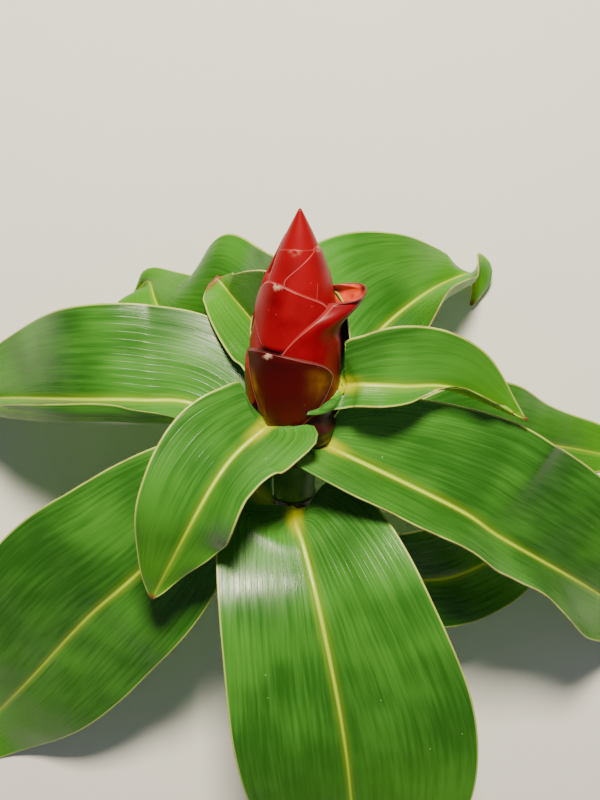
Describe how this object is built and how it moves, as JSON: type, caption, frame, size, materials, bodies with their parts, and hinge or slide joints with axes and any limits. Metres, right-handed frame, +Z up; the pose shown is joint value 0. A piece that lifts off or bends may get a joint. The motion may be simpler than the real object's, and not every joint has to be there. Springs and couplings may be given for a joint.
{
  "type": "red ginger flower",
  "caption": "Cut leafy cane with a pointed cone of overlapping red bracts and broad waved glossy leaves, lying on a surface.",
  "frame": {"origin": "middle of the whole piece in plan, on the surface that it lies on", "axes": "+Z up off the surface, +Y along the cane towards the tip of the cone, +X to the right seen from above with the cone's tip ahead"},
  "size_m": [0.3626, 0.3231, 0.1353],
  "materials": {
    "bract": "satin waxy red bract",
    "neck": "satin dark maroon",
    "stem": "satin green cane",
    "leaf": "glossy green leaf"
  },
  "bodies": {
    "root": {"cone": "bract", "neck": "neck", "stem": "stem", "leaf_left": "leaf", "leaf_lower_left": "leaf", "leaf_front_left": "leaf", "leaf_front": "leaf", "leaf_right": "leaf", "leaf_upper_right": "leaf", "leaf_back_right": "leaf", "leaf_back_left": "leaf", "leaf_back": "leaf", "leaf_far_right": "leaf", "leaf_lower_right": "leaf"}
  },
  "joints": []
}
